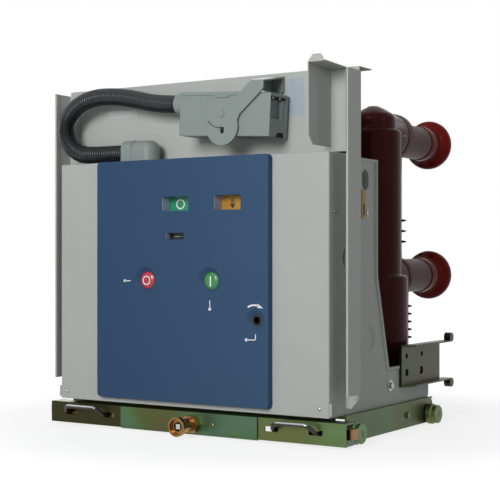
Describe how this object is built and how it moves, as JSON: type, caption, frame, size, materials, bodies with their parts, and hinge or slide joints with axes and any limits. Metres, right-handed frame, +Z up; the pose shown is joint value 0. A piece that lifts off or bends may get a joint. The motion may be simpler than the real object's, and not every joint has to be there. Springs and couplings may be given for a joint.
{
  "type": "withdrawable indoor circuit breaker",
  "caption": "Medium-voltage circuit breaker on a racking truck, with painted mechanism housing, blue control panel, resin poles and tulip contacts at the rear.",
  "frame": {"origin": "middle of the footprint at rail level, under the lowest points of the wheels", "axes": "+X to the right seen from the front panel, +Y from the panel to the rear contacts, +Z up"},
  "size_m": [0.666, 0.656, 0.6637],
  "materials": {
    "cover_paint": "satin powder coat",
    "frame_paint": "satin powder coat",
    "panel_blue": "fine grain",
    "flag_green": "satin",
    "flag_yellow": "satin",
    "counter_black": "satin",
    "button_red": "gloss",
    "button_green": "gloss",
    "socket_steel": "blackened",
    "plug_grey": "die casting, satin paint",
    "conduit_black": "ribbed",
    "resin_red": "cast epoxy, gloss",
    "sleeve_brown": "satin",
    "ring_red": "gloss",
    "arm_aluminium": "machined",
    "contact_silver": "silver plated",
    "spring_steel": "drawn",
    "zinc_yellow": "yellow passivated zinc",
    "wheel_zinc": "yellow passivated zinc",
    "handle_chrome": "polished",
    "nut_brass": "machined"
  },
  "bodies": {
    "breaker": {"front_cover": "cover_paint", "panel": "panel_blue", "contact_flag": "flag_green", "spring_flag": "flag_yellow", "counter": "counter_black", "mechanism_housing": "frame_paint", "side_frame_right": "frame_paint", "side_frame_left": "frame_paint", "rear_base": "frame_paint", "mask_plate": "frame_paint", "guide_right": "frame_paint", "guide_left": "frame_paint", "plug_wing": "frame_paint", "plug_base": "plug_grey", "plug_hood": "plug_grey", "gland": "plug_grey", "conduit": "conduit_black", "pole_a": "resin_red", "pole_b": "resin_red", "pole_c": "resin_red", "contact_arms": "arm_aluminium", "arm_sleeves": "sleeve_brown", "shield_rings": "ring_red", "contact_clusters": "contact_silver", "garter_springs": "spring_steel", "shutter_bracket_right": "zinc_yellow", "shutter_bracket_left": "zinc_yellow", "truck_channel_right": "zinc_yellow", "truck_channel_left": "zinc_yellow", "truck_deck": "zinc_yellow", "racking_nut": "nut_brass"},
    "beam": {"beam": "zinc_yellow", "beam_plate_right": "zinc_yellow", "beam_plate_left": "zinc_yellow"},
    "racking_screw": {"racking_screw": "zinc_yellow"},
    "handle_right": {"handle_right": "handle_chrome"},
    "handle_left": {"handle_left": "handle_chrome"},
    "wheel_front_right": {"wheel_front_right": "wheel_zinc"},
    "wheel_front_left": {"wheel_front_left": "wheel_zinc"},
    "wheel_rear_right": {"wheel_rear_right": "wheel_zinc"},
    "wheel_rear_left": {"wheel_rear_left": "wheel_zinc"},
    "trip_button": {"trip_button": "button_red"},
    "close_button": {"close_button": "button_green"},
    "charging_shaft": {"charging_shaft": "socket_steel"},
    "plug_lever": {"plug_lever": "plug_grey"}
  },
  "joints": [
    {"name": "beam_travel", "type": "slide", "parent": "breaker", "child": "beam", "axis": [0, -1, 0], "range_m": [0, 0.2]},
    {"name": "racking_turn", "type": "hinge", "parent": "beam", "child": "racking_screw", "pos_m": [0.014, -0.278, 0.0215], "axis": [0, 1, 0], "continuous": true},
    {"name": "handle_right_draw", "type": "slide", "parent": "beam", "child": "handle_right", "axis": [-1, 0, 0], "range_m": [0, 0.012], "stiffness_N_per_m": 500, "springref_m": -0.02},
    {"name": "handle_left_draw", "type": "slide", "parent": "beam", "child": "handle_left", "axis": [1, 0, 0], "range_m": [0, 0.012], "stiffness_N_per_m": 500, "springref_m": -0.02},
    {"name": "wheel_front_right_roll", "type": "hinge", "parent": "breaker", "child": "wheel_front_right", "pos_m": [0, -0.2145, 0.0195], "axis": [1, 0, 0], "continuous": true},
    {"name": "wheel_front_left_roll", "type": "hinge", "parent": "breaker", "child": "wheel_front_left", "pos_m": [0, -0.2145, 0.0195], "axis": [1, 0, 0], "continuous": true},
    {"name": "wheel_rear_right_roll", "type": "hinge", "parent": "breaker", "child": "wheel_rear_right", "pos_m": [0, 0.106, 0.0195], "axis": [1, 0, 0], "continuous": true},
    {"name": "wheel_rear_left_roll", "type": "hinge", "parent": "breaker", "child": "wheel_rear_left", "pos_m": [0, 0.106, 0.0195], "axis": [1, 0, 0], "continuous": true},
    {"name": "trip_press", "type": "slide", "parent": "breaker", "child": "trip_button", "axis": [0, 1, 0], "range_m": [0, 0.005], "stiffness_N_per_m": 1500, "springref_m": -0.003},
    {"name": "close_press", "type": "slide", "parent": "breaker", "child": "close_button", "axis": [0, 1, 0], "range_m": [0, 0.005], "stiffness_N_per_m": 1500, "springref_m": -0.003},
    {"name": "charging_turn", "type": "hinge", "parent": "breaker", "child": "charging_shaft", "pos_m": [0.156, -0.278, 0.2125], "axis": [0, 1, 0], "continuous": true},
    {"name": "lever_swing", "type": "hinge", "parent": "breaker", "child": "plug_lever", "pos_m": [0.085, -0.288, 0.5765], "axis": [0, -1, 0], "range_deg": [0, 75]}
  ]
}
